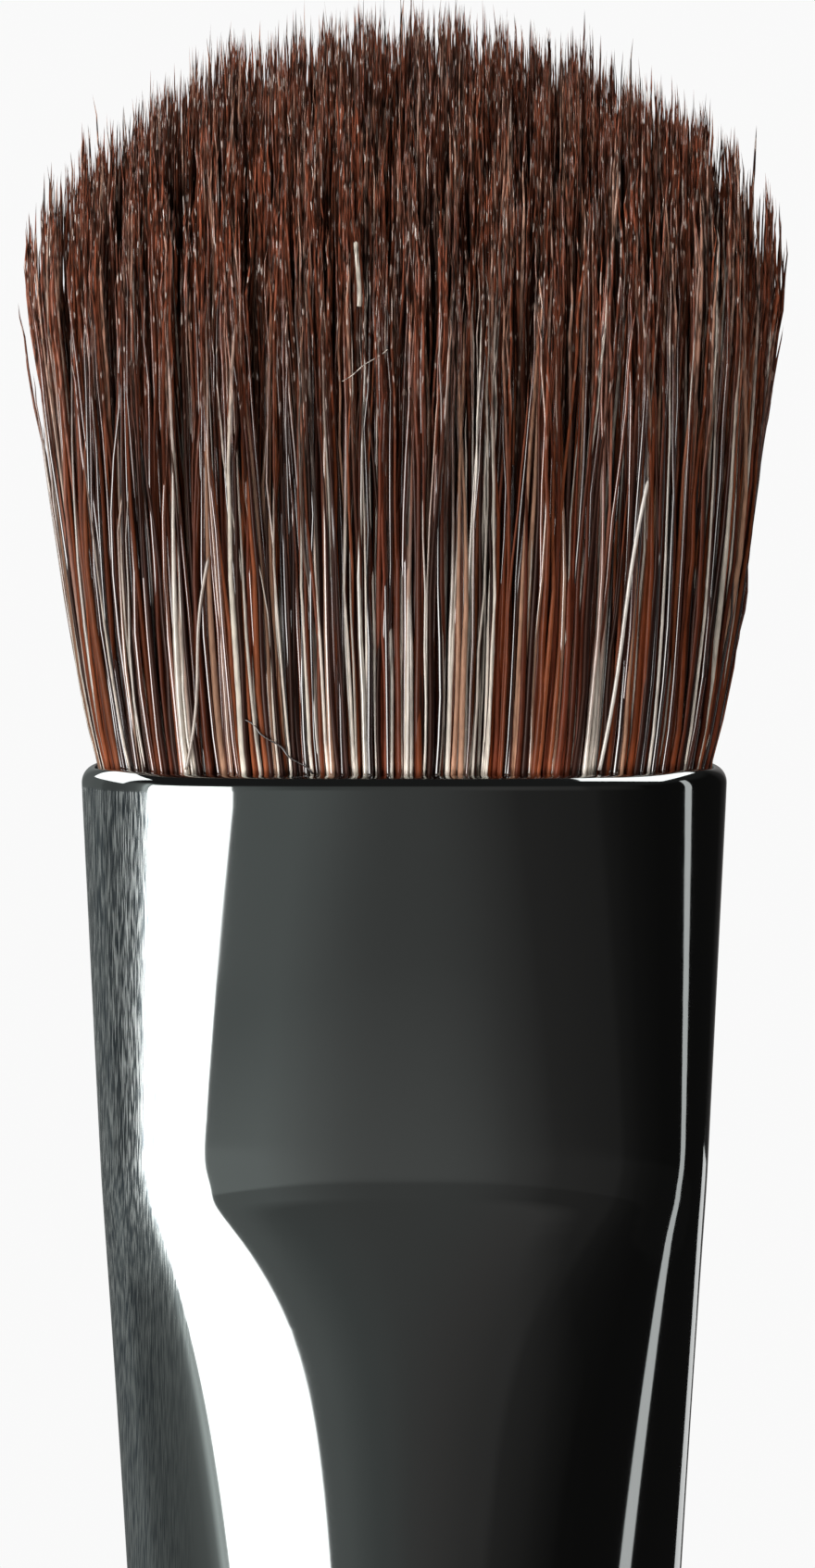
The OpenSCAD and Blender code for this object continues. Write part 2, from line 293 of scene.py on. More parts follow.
def metal_material():
    """Dark nickel plate: polished faces, a finely brushed left side and a faint brushing on the right."""
    material, graph, shader = new_material("dark_nickel")
    shader.inputs["Metallic"].default_value = 1
    place = graph.place()
    across, _, up = graph.axes(place)
    body = graph.ranged(up, MOUTH_Z - BRUSHED_BELOW_LIP * LIP_H, MOUTH_Z - LIP_H, 1, 0)
    left = graph.calc("MULTIPLY", graph.ranged(across, *LEFT_BRUSHED), body)
    right = graph.calc("MULTIPLY", graph.ranged(across, *RIGHT_BRUSHED, 0, RIGHT_BRUSHING), body)
    side = graph.calc("ADD", left, right)
    grain = graph.noise(graph.place(SCRATCH_STRETCH), scale=80000, detail=1.0)
    cloud = graph.noise(place, scale=420)
    scratch = graph.ranged(grain, *SCRATCHES)
    tone = graph.mixed(cloud, *POLISHED_TONES)
    scratched = graph.mixed(scratch, *SCRATCHED_TONES)
    graph.feed(shader.inputs["Base Color"], graph.mixed(left, tone, scratched))
    polished = graph.ranged(cloud, *CLOUDS, *POLISHED_ROUGHNESS)
    coarse = graph.ranged(up, CREASE_Z - COARSER_OVER, CREASE_Z, *BRUSHED_ROUGHNESS)
    rough = graph.calc("MULTIPLY", graph.calc("MULTIPLY", scratch, side), coarse)
    graph.feed(shader.inputs["Roughness"], graph.calc("ADD", polished, rough))
    graph.bump(shader, graph.calc("MULTIPLY", grain, side), strength=0.5, distance=0.001 * MM)
    return material


# The lacquer: its tones along the wood's grain, and how its roughness follows the grain
LACQUER_TONES = ((0.010, 0.010, 0.012), (0.019, 0.018, 0.020))
LACQUER_GRAIN = (0.3, 0.7)
LACQUER_ROUGHNESS = (0.2, 0.3)
WOOD_STRETCH = (1, 1, 0.04)


def lacquer_material():
    """Black gloss lacquer over wood, with a trace of the grain and a slightly uneven surface."""
    material, graph, shader = new_material("black_lacquer")
    grain = graph.noise(graph.place(WOOD_STRETCH), scale=2600, detail=4.0, rough=0.6)
    graph.feed(shader.inputs["Base Color"], graph.mixed(grain, *LACQUER_TONES))
    graph.feed(shader.inputs["Roughness"], graph.ranged(grain, *LACQUER_GRAIN, *LACQUER_ROUGHNESS))
    shader.inputs["Coat Weight"].default_value = 1
    shader.inputs["Coat Roughness"].default_value = 0.05
    peel = graph.noise(graph.place(), scale=900, detail=1.0)
    graph.bump(shader, peel, strength=0.12, distance=0.01 * MM)
    return material


def plain_material(name, low, high, scale, roughness):
    """A hidden piece's material: two close tones in a fine grain."""
    material, graph, shader = new_material(name)
    grain = graph.noise(graph.place(), scale, detail=3.0)
    graph.feed(shader.inputs["Base Color"], graph.mixed(grain, low, high))
    shader.inputs["Roughness"].default_value = roughness
    graph.bump(shader, grain, strength=0.3, distance=0.02 * MM)
    return material


# The hair: nearly even at the mouth, with flecks and sparks that grow between these heights above it. The
# sparks are painted glints in the hair's colour, with a gloss coat of their own.
FLECKED_FROM = 4.6 * MM
FLECKED_FULL = 8.4 * MM
FLECK_STRETCH = (1, 1, 0.13)
FLECK_MIDDLE = 0.48
FLECK_SWING = (1.2, 8.0)
FLECK_LIFT = 1.1
SHADE_LIMITS = (0.05, 1.9)
SPARK_STRETCH = (1, 1, 0.2)
SPARKS = (0.67, 0.75)
SPARK_MOST = 0.9
# The colour of the painted glints
PAINTED_GLINT_COLOUR = (0.55, 0.39, 0.31)
GLITTER = (0.52, 0.62)
DULL_TO_GLOSSY = (0.55, 0.4)
GLOSS_COLOUR = (1, 0.52, 0.36, 1)


def hair_material():
    """Dyed natural hair: colour and gloss vary from hair to hair, and finely along each near its tip, where
    small spots of painted glint lighten its colour.
    """
    material, graph, shader = new_material("hair")
    tint = graph.nodes.new("ShaderNodeVertexColor")
    tint.layer_name = "tint"
    _, _, up = graph.axes(graph.place())
    upper = graph.ranged(up, MOUTH_Z + FLECKED_FROM, MOUTH_Z + FLECKED_FULL)
    fleck = graph.noise(graph.place(FLECK_STRETCH), scale=26000, detail=1.0, rough=0.6)
    spread = graph.ranged(upper, 0, 1, *FLECK_SWING)
    swing = graph.calc("MULTIPLY", graph.calc("SUBTRACT", fleck, FLECK_MIDDLE), spread)
    shade = graph.ranged(graph.calc("ADD", swing, FLECK_LIFT), *SHADE_LIMITS, *SHADE_LIMITS)
    dimmed = graph.mixed(1, tint.outputs["Color"], shade, blend="MULTIPLY")
    glint = graph.noise(graph.place(SPARK_STRETCH), scale=24000, detail=0.0)
    spark = graph.calc("MULTIPLY", graph.ranged(glint, *SPARKS, 0, SPARK_MOST), upper)
    # Painted glints: small spots near the tips take a pale colour that stands in for a highlight
    graph.feed(shader.inputs["Base Color"], graph.mixed(spark, dimmed, PAINTED_GLINT_COLOUR))
    graph.feed(shader.inputs["Roughness"], graph.ranged(tint.outputs["Alpha"], 0, 1, *DULL_TO_GLOSSY))
    shader.inputs["IOR"].default_value = 1.4
    shader.inputs["Specular Tint"].default_value = GLOSS_COLOUR
    glitter = graph.ranged(fleck, *GLITTER)
    broken = graph.calc("MAXIMUM", glitter, graph.calc("SUBTRACT", 1, upper))
    gloss = graph.calc("MULTIPLY", tint.outputs["Alpha"], broken)
    graph.feed(shader.inputs["Coat Weight"], graph.calc("MAXIMUM", gloss, spark))
    shader.inputs["Coat Roughness"].default_value = 0.08
    shader.inputs["Coat IOR"].default_value = 3.8
    return material


# The metal ferrule

FERRULE_ANGLES = even_angles(256)
EDGE_R = 0.04 * MM
EDGE_TURNS = (1.57, 1.05, 0.52)
LIP_STEPS = 20
INSIDE_EVERY = 4
CREASE_BELOW = 2 * MM
CREASE_ABOVE = 1.2 * MM

# The lip is highest nearer to the inside. It stands higher along the front than at the ends of the mouth,
# and highest just before them.
LIP_SHOULDER = 0.19 * MM
FRONT_RISE = 0.035 * MM
FRONT_RISE_ENDS = (4.55 * MM, 4.95 * MM)
SIDE_RISE = 0.035 * MM
SIDE_RISE_X = 4.35 * MM
SIDE_RISE_W = 0.45 * MM


def crimp_dip(z):
    """How deep the crimped rings press in the barrel at a height."""
    first = BARREL_END + CRIMP_START
    dip = 0.0
    for k in range(CRIMPS):
        reach = abs(z - first - k * CRIMP_PITCH)
        if reach < CRIMP_W / 2:
            dip += CRIMP_DEPTH * (1 + math.cos(2 * math.pi * reach / CRIMP_W)) / 2
    return dip


def ferrule_ring(z, inset):
    x, y = section_xy(soft_section(np.float64(z), inset), FERRULE_ANGLES, 1)
    lip_share = np.clip((z - MOUTH_Z + LIP_H) / LIP_H, 0, 1)
    rise = FRONT_RISE * (1 - smooth(*FRONT_RISE_ENDS, np.abs(x)))
    rise += SIDE_RISE * np.exp(-(((np.abs(x) - SIDE_RISE_X) / SIDE_RISE_W) ** 2))
    return np.stack([x, y, z + rise * lip_share], axis=1)


def make_ferrule(material):
    """The metal's wall as one closed loft: its foot, the outside, the lip, and the inside back down."""
    crimps_end = BARREL_END + CRIMP_START + (CRIMPS - 1) * CRIMP_PITCH + CRIMP_W
    stretches = (
        (BARREL_END + EDGE_R, crimps_end, 70),
        (crimps_end, CREASE_Z - CREASE_BELOW, 110),
        (CREASE_Z - CREASE_BELOW, CREASE_Z + CREASE_ABOVE, 64),
        (CREASE_Z + CREASE_ABOVE, MOUTH_Z - LIP_H, 24),
    )
    heights = np.unique(np.concatenate([np.linspace(*stretch) for stretch in stretches]))
    foot = [(BARREL_END + EDGE_R * (1 - math.sin(t)), EDGE_R * (1 - math.cos(t))) for t in EDGE_TURNS]
    outside = [(z, crimp_dip(z)) for z in heights]
    lip = []
    for i in range(1, LIP_STEPS):
        turn = math.pi * i / LIP_STEPS
        span = LIP_SHOULDER if turn < math.pi / 2 else WALL - LIP_SHOULDER
        lip.append((MOUTH_Z - LIP_H * (1 - math.sin(turn)), LIP_SHOULDER - span * math.cos(turn)))
    inside = [(z, WALL + crimp_dip(z)) for z in heights[::-INSIDE_EVERY]]
    inner_foot = [(z, WALL - inset) for z, inset in reversed(foot)]
    rings = [ferrule_ring(z, inset) for z, inset in foot + outside + lip + inside + inner_foot]
    points, faces = loft(rings, closed=True)
    piece = add_piece("ferrule_shell", points, faces, material)
    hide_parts("ferrule")


# The handle

HANDLE_ANGLES = even_angles(96)
END_RINGS = 16
END_FIRST_TURN = 0.06
TAPER_RINGS = 80
SHOULDER_SHARE = 0.0012
SHOULDER_BEVEL = 0.08 * MM
BEVEL_RINGS = 5
TENON_RINGS = 60
TENON_CHAMFER = 0.6 * MM


def make_handle(material):
    """The handle's profile from its rounded end to the top of its tenon, turned round the axis."""
    shoulder_r = BARREL_R - SHOULDER_STEP
    tenon_r = BARREL_R - WALL - TENON_GAP
    round_share = 1 - END_ROUND_LEN / HANDLE_LEN
    quarter = math.pi / 2

    def radius(share):
        return mix(shoulder_r, HANDLE_END_R, share**TAPER_POWER)

    profile = []
    for turn in np.linspace(END_FIRST_TURN, quarter, END_RINGS):
        height = END_ROUND_LEN * (1 - math.cos(turn))
        profile.append((radius(round_share) * math.sin(turn), HANDLE_TIP + height))
    for share in np.linspace(round_share, SHOULDER_SHARE, TAPER_RINGS)[1:]:
        profile.append((radius(share), BARREL_END - share * HANDLE_LEN))
    for turn in np.linspace(0, quarter, BEVEL_RINGS):
        inset = SHOULDER_BEVEL * (1 - math.cos(turn))
        drop = SHOULDER_BEVEL * (1 - math.sin(turn))
        profile.append((shoulder_r - inset, BARREL_END - drop))
    profile.append((tenon_r, BARREL_END))
    for z in np.linspace(BARREL_END, TENON_TOP - TENON_CHAMFER, TENON_RINGS)[1:]:
        profile.append((tenon_r - crimp_dip(z), z))
    profile.append((tenon_r - TENON_CHAMFER, TENON_TOP))
    rings = [level_ring(r * np.cos(HANDLE_ANGLES), r * np.sin(HANDLE_ANGLES), z) for r, z in profile]
    points, faces = loft(rings, closed=False)
    piece = add_piece("handle_body", points, faces, material)
    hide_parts("handle")


# The hair

HAIR_SEED = 20
HAIRS = 7500
CLUMPS = 440
HAIR_JITTER = 0.006
CLUMP_JITTER = 0.025
GOLDEN_ANGLE = math.pi * (3 - math.sqrt(5))

# Steps along each hair as shares of its length. Hairs inside the tuft keep only some of them.
HAIR_STEPS = np.array([0, 0.03, 0.07, 0.14, 0.23, 0.34, 0.46, 0.58, 0.69, 0.79, 0.87, 0.93, 0.97, 1])
INNER_STEPS = [0, 4, 6, 8, 9, 10, 11, 12, 13]
BUNDLE_STEP = 3
OUTER_SIDES = 6
INNER_SIDES = 4
OUTER_SHARE = 0.8
EDGE_SHARE = 0.995
DOME_SHARE = 0.999

# How far the dome falls from its top to its edge
SIDE_DROP_LEFT = 3.9 * MM
SIDE_DROP_RIGHT = 3.5 * MM
FACE_DROP = 5.2 * MM

# Uneven tips. Lengths in a pair are in millimetres.
FOOT_DEPTH = 0.3 * MM
CLUMP_PEAK = 0.2 * MM
CLUMP_SLOPE = 1.5
CLUMP_UNEVEN = 0.16 * MM
TIP_UNEVEN = 0.12 * MM
SHORT_HAIRS = 0.16
SHORT_BY = (0.2, 2.2)
RAGGED_ZONE = (0.86, 0.97)
RAGGED_HAIRS = 0.4
RAGGED_BY = (0, 4)

# Clumps: how far their hairs are drawn together, and how far they stand forward or back of each other
CLUMP_PULL = (0.5, 0.95)
PULL_ZONE = (0.45, 1.0)
CLUMP_DEPTH = 0.2 * MM
DEPTH_SIDE_FADE = 1.6
DEPTH_ZONE = (0.35, 0.8)

# Leans, the outward flare at the edge in millimetres, and the waves and kinks of single hairs
STRAY_HAIRS = 0.08
STRAY_LEAN = 0.034
PLAIN_LEAN = 0.008
UPRIGHT_SIDE = 0.85
UPRIGHT_ZONE = (0.75, 0.95)
RAGGED_LEAN = 0.016
FLARE_ZONE = (0.9, 1.0)
FLARE_LEFT = 0.08
FLARE_RIGHT = 0.04
FLARE_RISE = (4.5 * MM, 8.5 * MM)
WAVES = ((0.03 * MM, 1.1), (0.011 * MM, 3.1))
WAVES_FULL_AT = 2 * MM
KINK = 0.014 * MM
KINK_RISE = (3 * MM, 7 * MM)

# Thickness of a hair: its radius, how much that varies, how flat its section is and how it tapers
HAIR_R = 0.047 * MM
HAIR_R_VARIES = (0.75, 1.25)
FLATNESS = (0.6, 1.0)
TWIST = 0.7
BODY_TAPER = 0.45
BODY_TAPER_ZONE = (0.25, 0.68)
TIP_TAPER = 0.35
TIP_TAPER_ZONE = (0.86, 1.0)

# Pale hairs, partly real pale hairs and partly painted highlight lines near the mouth: their share in plain
# clumps and in pale ones, and their thickness
PALE_CLUMPS = 0.15
PALE_IN_PALE_CLUMP = 0.45
PALE_IN_PLAIN_CLUMP = 0.12
PALE_IN_BUNDLE = 0.55
PALE_THICKNESS = 0.55
BUNDLE_THICKNESS = 0.85

# Where bundles of pale hairs stand across the front of the mouth, and how wide each bundle is
PALE_BUNDLES = (
    (-4.75 * MM, 0.3 * MM),
    (-3.35 * MM, 0.14 * MM),
    (-1.28 * MM, 0.18 * MM),
    (0.1 * MM, 0.14 * MM),
    (0.62 * MM, 0.15 * MM),
    (2.9 * MM, 0.18 * MM),
)

# Share of the dyed hairs of each shade, and its colour
HAIR_SHADES = (
    (0.32, (0.012, 0.004, 0.003)),
    (0.26, (0.050, 0.011, 0.005)),
    (0.19, (0.110, 0.024, 0.008)),
    (0.11, (0.190, 0.051, 0.020)),
    (0.09, (0.330, 0.180, 0.115)),
    (0.03, (0.560, 0.500, 0.420)),
)
DYED_MOST = 0.115
TIP_SHADE = np.array((0.132, 0.036, 0.018))
TIP_BRIGHT = np.array((0.360, 0.200, 0.140))
PALE_AND_HIGHLIGHT_SHADE = np.array((0.55, 0.49, 0.42))

# How the shades vary: as a range of factors, or as a bell curve of their logarithm, given by its middle
# and spread, with a limit on the factor
HAIR_VARIES = (0.75, 1.3)
PALE_VARIES = (0.55, 1.25)
BRIGHT_VARIES = (0.75, 1.0)
CLUMP_VARIES = (-0.08, 0.32, 1.5)
TIP_CLUMP_VARIES = (-0.12, 0.52, 1.9)
TIP_VARIES = (-0.1, 0.65, 1.5)
WARM_CLUMPS = 0.22
WARM_GAIN = 2.0
COOL_GAIN = 0.9
BRIGHT_TIPS = 0.11

# Where the colour turns to that of the tips, in millimetres above the mouth, and how far it turns
PALE_UNTIL = (0.2, 4.6)
BUNDLE_LATER = -1
RIGHT_LATER = 2.2
RIGHT_ZONE = (0, 3 * MM)
DYED_UNTIL = 3.8
TIP_CHANGE = 4 * MM
PALE_TIP_SHARE = 0.92
DYED_TIP_SHARE = 0.78
# A painted light at the hairs' feet: how much their colour is brightened just above the mouth, and over what
# height that fades
FOOT_PAINTED_LIGHT = 0.9
FOOT_PAINTED_LIGHT_RISE = (0, 0.6 * MM)

# Gloss of single hairs
SHINY_HAIRS = 0.4
SHINY_GLOSS = (0.8, 1.0)
DULL_GLOSS = (0, 0.06)
PALE_GLOSS = 0.6
TIP_GLOSS_LOST = 0.5
TIP_GLOSS_RISE = (5 * MM, 8.4 * MM)

# How much hairs inside the tuft are darkened below the tips of their neighbours
BURIED_ZONE = (0.8, 0.96)
BURIED_DEPTH = (0.5 * MM, 2 * MM)
BURIED_DARK = 0.75
BURIED_DULL = 0.85


def disc_places(count, rng, jitter):
    """Even places on a unit disc, as directions and shares of the radius."""
    index = np.arange(count)
    share = np.sqrt((index + 0.5) / count)
    angle = index * GOLDEN_ANGLE
    x = share * np.cos(angle) + rng.normal(0, jitter, count)
    y = share * np.sin(angle) + rng.normal(0, jitter, count)
    return np.arctan2(y, x), np.minimum(np.hypot(x, y), EDGE_SHARE)


ROOT_SHAPE = section(np.float64(ROOT_TOP), WALL + ROOT_GAP)
BELLY_SHAPE = (BELLY_W / 2, BELLY_T / 2, ROUND_POWER)


def tuft_section(z):
    """The tuft's outside at a height, from the mouth to the belly and on."""
    swell = np.clip((z - MOUTH_Z) / BELLY_H, 0, 1) ** SWELL_POWER
    return tuple(mix(root, belly, swell) for root, belly in zip(ROOT_SHAPE, BELLY_SHAPE))


def dome_height(angle, share):
    side = np.where(np.cos(angle) < 0, SIDE_DROP_LEFT, SIDE_DROP_RIGHT)
    drop = mix(side, FACE_DROP, np.sin(angle) ** 2)
    fall = 1 - (1 - np.minimum(share, DOME_SHARE) ** DOME_POWER) ** (1 / DOME_POWER)
    return HAIR_LEN - drop * fall


def plan_hairs(rng):
    """Each hair's place, the number and place of its clump, and how far off that clump's middle it is."""
    angle, share = disc_places(HAIRS, rng, HAIR_JITTER)
    clump_angle, clump_share = disc_places(CLUMPS, rng, CLUMP_JITTER)

    # Each hair joins the nearest clump, measured across the widest section
    belly = tuft_section(np.float64(MOUTH_Z + BELLY_H))
    hair_x, hair_y = section_xy(belly, angle, share)
    clump_x, clump_y = section_xy(belly, clump_angle, clump_share)
    away = np.hypot(hair_x[:, None] - clump_x[None], hair_y[:, None] - clump_y[None])
    nearest = away.argmin(axis=1)
    return (angle, share), nearest, (clump_angle[nearest], clump_share[nearest]), away.min(axis=1)


def hair_heights(rng, place, nearest, reach):
    """How high each tip is above the mouth, and which hairs at the sides are ragged."""
    angle, share = place
    # A clump is highest in its middle, so its tips make one point
    tall = dome_height(angle, share) + CLUMP_PEAK - CLUMP_SLOPE * reach
    tall += rng.normal(0, CLUMP_UNEVEN, CLUMPS)[nearest] + rng.normal(0, TIP_UNEVEN, HAIRS)
    short = rng.random(HAIRS) < SHORT_HAIRS
    tall -= np.where(short, rng.uniform(*SHORT_BY, HAIRS) * MM, 0)
    edge = smooth(*RAGGED_ZONE, share * np.abs(np.cos(angle)))
    ragged = (rng.random(HAIRS) < RAGGED_HAIRS) * edge
    tall -= ragged * rng.uniform(*RAGGED_BY, HAIRS) * MM
    return tall, ragged


def hair_lines(rng, place, nearest, clump_place, tall, ragged):
    """The centre line of each hair, and how high each of its points is above the mouth."""
    angle, share = place
    steps = HAIR_STEPS
    start = ROOT_TOP - FOOT_DEPTH
    z = start + (MOUTH_Z + tall - start)[:, None] * steps[None]
    shape = tuft_section(z)
    x, y = section_xy(shape, angle[:, None], share[:, None])
    clump_x, clump_y = section_xy(shape, clump_place[0][:, None], clump_place[1][:, None])
    pull = rng.uniform(*CLUMP_PULL, CLUMPS)[nearest][:, None] * smooth(*PULL_ZONE, steps)[None]
    x += pull * (clump_x - x)
    y += pull * (clump_y - y)

    # Clumps stand a little forward or back of each other, which leaves dark crevices
    on_face = np.clip(DEPTH_SIDE_FADE - np.abs(np.cos(angle)) * DEPTH_SIDE_FADE, 0, 1)
    depth = rng.normal(0, CLUMP_DEPTH, CLUMPS)[nearest] * on_face
    y += depth[:, None] * smooth(*DEPTH_ZONE, steps)

    # Leans, and an outward flare at the edge that is larger on the left
    rise = np.maximum(z - MOUTH_Z, 0)
    stray = rng.random(HAIRS) < STRAY_HAIRS
    lean = rng.normal(0, 1, (2, HAIRS)) * np.where(stray, STRAY_LEAN, PLAIN_LEAN)
    lean[0] *= 1 - UPRIGHT_SIDE * smooth(*UPRIGHT_ZONE, share * np.abs(np.cos(angle)))
    lean[0] += RAGGED_LEAN * ragged * np.sign(np.cos(angle))
    flare = np.abs(rng.normal(0, 1, HAIRS)) * smooth(*FLARE_ZONE, share)
    flare *= np.where(np.cos(angle) < 0, FLARE_LEFT, FLARE_RIGHT) * MM
    bend = smooth(*FLARE_RISE, rise)
    x += lean[0][:, None] * rise + (flare * np.cos(angle))[:, None] * bend
    y += lean[1][:, None] * rise + (flare * np.sin(angle))[:, None] * bend

    # Slow waves, then fine kinks towards the tip
    for amount, turns in WAVES:
        phase = rng.uniform(0, 2 * math.pi, (2, HAIRS, 1))
        size = np.abs(rng.normal(0, amount, (2, HAIRS, 1))) * np.minimum(rise / WAVES_FULL_AT, 1)
        x += size[0] * np.sin(phase[0] + 2 * math.pi * turns * steps)
        y += size[1] * np.sin(phase[1] + 2 * math.pi * turns * steps)
    kink = rng.normal(0, KINK, (2, HAIRS, len(steps))) * smooth(*KINK_RISE, rise)
    x += kink[0]
    y += kink[1]
    return np.stack([x, y, z], axis=2), rise


def pale_hairs(rng, nearest, x):
    """Which hairs are pale, and which of those stand in a bundle. Pale hairs are partly real and partly
    painted highlight lines.
    """
    draw = rng.random(HAIRS)
    pale_clump = rng.random(CLUMPS) < PALE_CLUMPS
    pale = draw < np.where(pale_clump, PALE_IN_PALE_CLUMP, PALE_IN_PLAIN_CLUMP)[nearest]
    bundled = np.zeros(HAIRS, dtype=bool)
    for middle, width in PALE_BUNDLES:
        bundled |= (np.abs(x - middle) < width / 2) & (rng.random(HAIRS) < PALE_IN_BUNDLE)
    return pale | bundled, bundled


def hair_sections(rng, pale, bundled):
    """Half width, half thickness and turn of each hair's oval section, and its taper along the hair."""
    steps = HAIR_STEPS
    pale_size = np.where(bundled, BUNDLE_THICKNESS, PALE_THICKNESS)
    wide = HAIR_R * rng.uniform(*HAIR_R_VARIES, HAIRS) * np.where(pale, pale_size, 1)
    thin = wide * rng.uniform(*FLATNESS, HAIRS)
    turn = rng.uniform(0, 2 * math.pi, (HAIRS, 1)) + rng.normal(0, TWIST, (HAIRS, 1)) * steps[None]
    taper = 1 - BODY_TAPER * smooth(*BODY_TAPER_ZONE, steps) - TIP_TAPER * smooth(*TIP_TAPER_ZONE, steps)
    return wide, thin, turn, taper


def paint_hairs(rng, nearest, x, rise, pale, bundled):
    """The colour and the gloss of each hair along its length."""
    weights = np.array([weight for weight, _ in HAIR_SHADES])
    shades = np.array([shade for _, shade in HAIR_SHADES])
    pick = rng.choice(len(shades), HAIRS, p=weights / weights.sum())
    middle, spread, most = CLUMP_VARIES
    patch = np.minimum(np.exp(rng.normal(middle, spread, CLUMPS)), most)[nearest]
    warmth = np.where(rng.random(CLUMPS) < WARM_CLUMPS, WARM_GAIN, COOL_GAIN)[nearest]
    middle, spread, most = TIP_CLUMP_VARIES
    tip_patch = np.minimum(np.exp(rng.normal(middle, spread, CLUMPS)), most)[nearest]

    # No variation takes a dyed hair past the dye's brightest, or past its own shade where that is brighter
    colour = shades[pick] * (rng.uniform(*HAIR_VARIES, HAIRS) * patch * warmth)[:, None]
    colour *= np.minimum(np.maximum(DYED_MOST, shades[pick][:, :1]) / colour[:, :1], 1)
    colour[pale] = PALE_AND_HIGHLIGHT_SHADE * rng.uniform(*PALE_VARIES, (pale.sum(), 1))

    # Every hair turns to a tip colour, and pale ones do so later on the right. Pale hairs turn within a few
    # millimetres of the mouth, and below that their paleness is partly a painted highlight.
    later = np.where(bundled, BUNDLE_LATER, RIGHT_LATER * smooth(*RIGHT_ZONE, x))
    pale_until = rng.uniform(*PALE_UNTIL, HAIRS) + later
    until = np.where(pale, pale_until, DYED_UNTIL)[:, None] * MM
    tip_share = np.where(pale, PALE_TIP_SHARE, DYED_TIP_SHARE)[:, None]
    to_tip = smooth(until, until + TIP_CHANGE, rise) * tip_share
    bright = rng.uniform(*BRIGHT_VARIES, HAIRS) * (rng.random(HAIRS) < BRIGHT_TIPS)
    middle, spread, most = TIP_VARIES
    tip_gain = np.minimum(np.exp(rng.normal(middle, spread, HAIRS)) * tip_patch, most)
    tip = mix(TIP_SHADE * tip_gain[:, None], TIP_BRIGHT, bright[:, None])
    # Painted light: each hair's colour is brightened at its foot, just above the mouth
    foot = 1 + FOOT_PAINTED_LIGHT * (1 - smooth(*FOOT_PAINTED_LIGHT_RISE, rise))
    tint = mix(colour[:, None, :] * foot[..., None], tip[:, None, :], to_tip[..., None])

    shiny = rng.random((HAIRS, 1)) < SHINY_HAIRS
    gloss = np.where(shiny, rng.uniform(*SHINY_GLOSS, (HAIRS, 1)), rng.uniform(*DULL_GLOSS, (HAIRS, 1)))
    gloss[pale] *= PALE_GLOSS
    return tint, gloss * (1 - TIP_GLOSS_LOST * smooth(*TIP_GLOSS_RISE, rise))


def make_hair(material):
    """The tuft's single hairs, in six pieces by the part of the tuft that they stand in."""
    rng = np.random.default_rng(HAIR_SEED)
    place, nearest, clump_place, reach = plan_hairs(rng)
    tall, ragged = hair_heights(rng, place, nearest, reach)
    centre, rise = hair_lines(rng, place, nearest, clump_place, tall, ragged)
    x_low = centre[:, BUNDLE_STEP, 0]
    pale, bundled = pale_hairs(rng, nearest, x_low)
    wide, thin, turn, taper = hair_sections(rng, pale, bundled)
    tint, gloss = paint_hairs(rng, nearest, x_low, rise, pale, bundled)

    # Little light reaches a hair below the tips of its neighbours outside it
    angle, share = place
    buried = (1 - smooth(*BURIED_ZONE, share))[:, None] * smooth(*BURIED_DEPTH, tall[:, None] - rise)
    tint = tint * (1 - BURIED_DARK * buried)[..., None]
    paint = np.concatenate([tint, (gloss * (1 - BURIED_DULL * buried))[..., None]], axis=2)

    outer = share > OUTER_SHARE
    front = np.sin(angle) < 0
    left = np.cos(angle) < 0
    groups = (
        ("hair_front_left", outer & front & left),
        ("hair_front_right", outer & front & ~left),
        ("hair_back_left", outer & ~front & left),
        ("hair_back_right", outer & ~front & ~left),
        ("hair_core_left", ~outer & left),
        ("hair_core_right", ~outer & ~left),
    )
    for name, chosen in groups:
        inner = name.startswith("hair_core")
        kept = INNER_STEPS if inner else list(range(len(HAIR_STEPS)))
        sides = INNER_SIDES if inner else OUTER_SIDES
        pick = np.ix_(np.flatnonzero(chosen), kept)
        rings = hair_rings(centre[pick], wide[chosen], thin[chosen], turn[pick], taper[kept], sides)
        make_hair_piece(name, rings, paint[pick], material)


def hair_rings(centre, wide, thin, turn, taper, sides):
    """Oval rings round each hair's centre line."""
    corner = 2 * math.pi * np.arange(sides) / sides
    across = (wide[:, None] * taper)[:, :, None] * np.cos(corner)
    through = (thin[:, None] * taper)[:, :, None] * np.sin(corner)
    cos_t, sin_t = np.cos(turn)[:, :, None], np.sin(turn)[:, :, None]
    rings = np.empty((*centre.shape[:2], sides, 3))
    rings[..., 0] = centre[:, :, None, 0] + across * cos_t - through * sin_t
    rings[..., 1] = centre[:, :, None, 1] + across * sin_t + through * cos_t
    rings[..., 2] = centre[:, :, None, 2]
    return rings


def make_hair_piece(name, rings, paint, material):
    """One mesh of closed tubes, each ending in a point, with a colour and a gloss at every point."""
    hairs, count, sides, _ = rings.shape
    per_hair = (count - 1) * sides + 1
    points = np.empty((hairs, per_hair, 3))
    points[:, :-1] = rings[:, :-1].reshape(hairs, -1, 3)
    points[:, -1] = rings[:, -1].mean(axis=1)
    k, i = np.meshgrid(np.arange(count - 2), np.arange(sides), indexing="ij")
    j = (i + 1) % sides
    quads = np.stack([k * sides + i, k * sides + j, (k + 1) * sides + j, (k + 1) * sides + i], axis=-1)
    quads = quads.reshape(-1, 4)
    last = (count - 2) * sides
    tips = np.array([(last + s, last + (s + 1) % sides, per_hair - 1) for s in range(sides)])
    base = np.arange(sides)[::-1].reshape(1, -1)
    faces = []
    for h in range(hairs):
        shift = h * per_hair
        for block in (quads, tips, base):
            faces.extend((block + shift).tolist())
    piece = add_piece(name, points.reshape(-1, 3), faces, material)
    colours = np.empty((hairs, per_hair, 4), dtype=np.float32)
    colours[:, :-1] = np.repeat(paint[:, :-1], sides, axis=1)
    colours[:, -1] = paint[:, -1]
    layer = piece.data.color_attributes.new(name="tint", type="FLOAT_COLOR", domain="POINT")
    layer.data.foreach_set("color", colours.ravel())
    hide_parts("hair_tuft")


